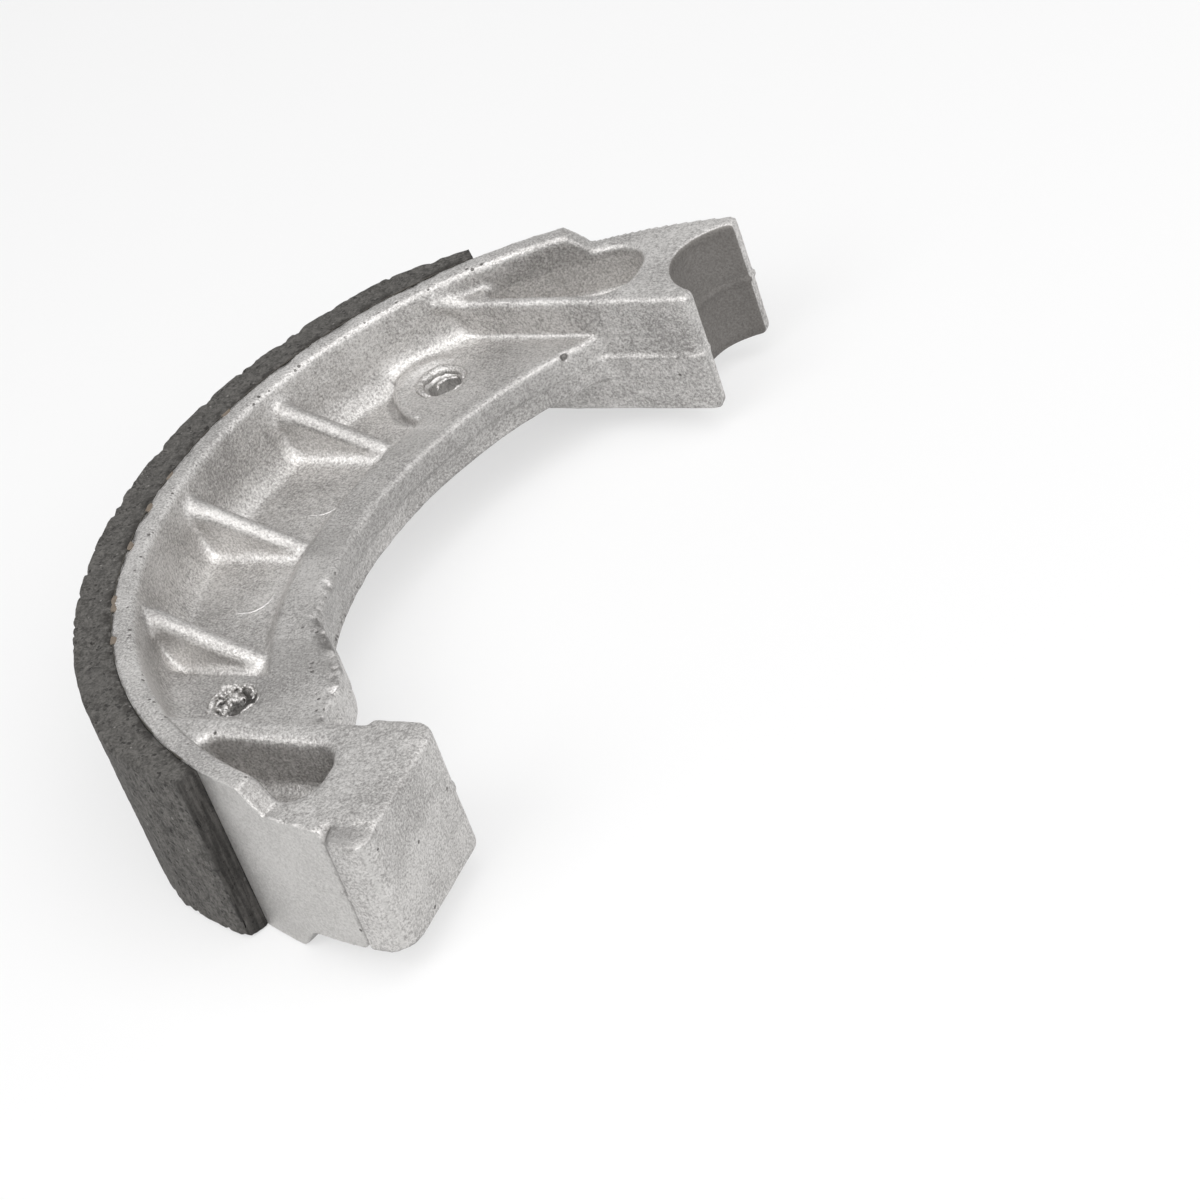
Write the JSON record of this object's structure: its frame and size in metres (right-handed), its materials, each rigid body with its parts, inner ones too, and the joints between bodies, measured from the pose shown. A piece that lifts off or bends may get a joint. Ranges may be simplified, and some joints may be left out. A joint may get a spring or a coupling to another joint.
{
  "type": "brake shoe",
  "caption": "Curved cast brake shoe with a ribbed web, a half-round anchor seat, a flat cam pad, spring holes and a bonded friction lining.",
  "frame": {"origin": "centre of the circle that the lining lies on, which is the drum's axis, halfway across the shoe", "axes": "+Z along the drum's axis, +Y towards the anchor pin, with the shoe on the -X side"},
  "size_m": [0.062, 0.1202, 0.024],
  "materials": {
    "cast_metal": "die-cast, fine grained, with the rim's outer face turned",
    "friction_mix": "moulded friction mix, dark and speckled, with ragged edges"
  },
  "bodies": {
    "root": {"shoe_casting": "cast_metal", "friction_lining": "friction_mix"}
  },
  "joints": []
}
